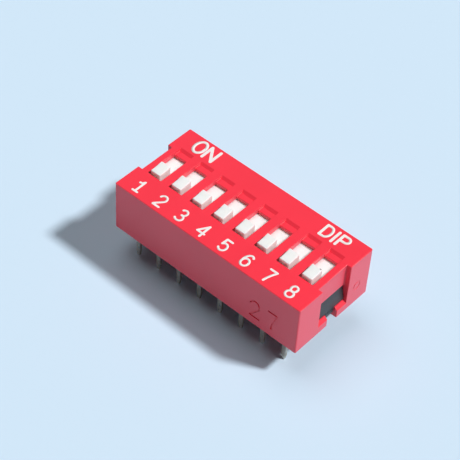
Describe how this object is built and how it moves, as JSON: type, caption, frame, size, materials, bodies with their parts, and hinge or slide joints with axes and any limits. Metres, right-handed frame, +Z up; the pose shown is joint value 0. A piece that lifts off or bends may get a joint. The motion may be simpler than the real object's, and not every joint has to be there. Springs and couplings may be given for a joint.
{
  "type": "dip switch",
  "caption": "Through-hole slide DIP switch: red clipped-on cover with numbered slots, black base, rows of tinned pins, and a white sliding actuator with a bridging contact under each slot.",
  "frame": {"origin": "middle of the footprint at the level of the pin tips", "axes": "+X along the row towards the last switch, +Y towards the ON side, +Z up"},
  "size_m": [0.0216, 0.01, 0.0094],
  "materials": {
    "cover_red": "satin moulded plastic",
    "base_black": "satin moulded plastic",
    "actuator_white": "satin moulded plastic",
    "terminal_tin": "tin plated, satin",
    "contact_gold": "gold plated, bright"
  },
  "bodies": {
    "housing": {"cover": "cover_red", "base": "base_black", "terminal_front_1": "terminal_tin", "terminal_front_2": "terminal_tin", "terminal_front_3": "terminal_tin", "terminal_front_4": "terminal_tin", "terminal_front_5": "terminal_tin", "terminal_front_6": "terminal_tin", "terminal_front_7": "terminal_tin", "terminal_front_8": "terminal_tin", "terminal_rear_1": "terminal_tin", "terminal_rear_2": "terminal_tin", "terminal_rear_3": "terminal_tin", "terminal_rear_4": "terminal_tin", "terminal_rear_5": "terminal_tin", "terminal_rear_6": "terminal_tin", "terminal_rear_7": "terminal_tin", "terminal_rear_8": "terminal_tin"},
    "slider_1": {"actuator_1": "actuator_white", "contact_1": "contact_gold"},
    "slider_2": {"actuator_2": "actuator_white", "contact_2": "contact_gold"},
    "slider_3": {"actuator_3": "actuator_white", "contact_3": "contact_gold"},
    "slider_4": {"actuator_4": "actuator_white", "contact_4": "contact_gold"},
    "slider_5": {"actuator_5": "actuator_white", "contact_5": "contact_gold"},
    "slider_6": {"actuator_6": "actuator_white", "contact_6": "contact_gold"},
    "slider_7": {"actuator_7": "actuator_white", "contact_7": "contact_gold"},
    "slider_8": {"actuator_8": "actuator_white", "contact_8": "contact_gold"}
  },
  "joints": [
    {"name": "slide_1", "type": "slide", "parent": "housing", "child": "slider_1", "axis": [0, 1, 0], "range_m": [0, 0.00183]},
    {"name": "slide_2", "type": "slide", "parent": "housing", "child": "slider_2", "axis": [0, 1, 0], "range_m": [0, 0.00183]},
    {"name": "slide_3", "type": "slide", "parent": "housing", "child": "slider_3", "axis": [0, 1, 0], "range_m": [0, 0.00183]},
    {"name": "slide_4", "type": "slide", "parent": "housing", "child": "slider_4", "axis": [0, 1, 0], "range_m": [0, 0.00183]},
    {"name": "slide_5", "type": "slide", "parent": "housing", "child": "slider_5", "axis": [0, 1, 0], "range_m": [0, 0.00183]},
    {"name": "slide_6", "type": "slide", "parent": "housing", "child": "slider_6", "axis": [0, 1, 0], "range_m": [0, 0.00183]},
    {"name": "slide_7", "type": "slide", "parent": "housing", "child": "slider_7", "axis": [0, 1, 0], "range_m": [0, 0.00183]},
    {"name": "slide_8", "type": "slide", "parent": "housing", "child": "slider_8", "axis": [0, 1, 0], "range_m": [0, 0.00183]}
  ]
}
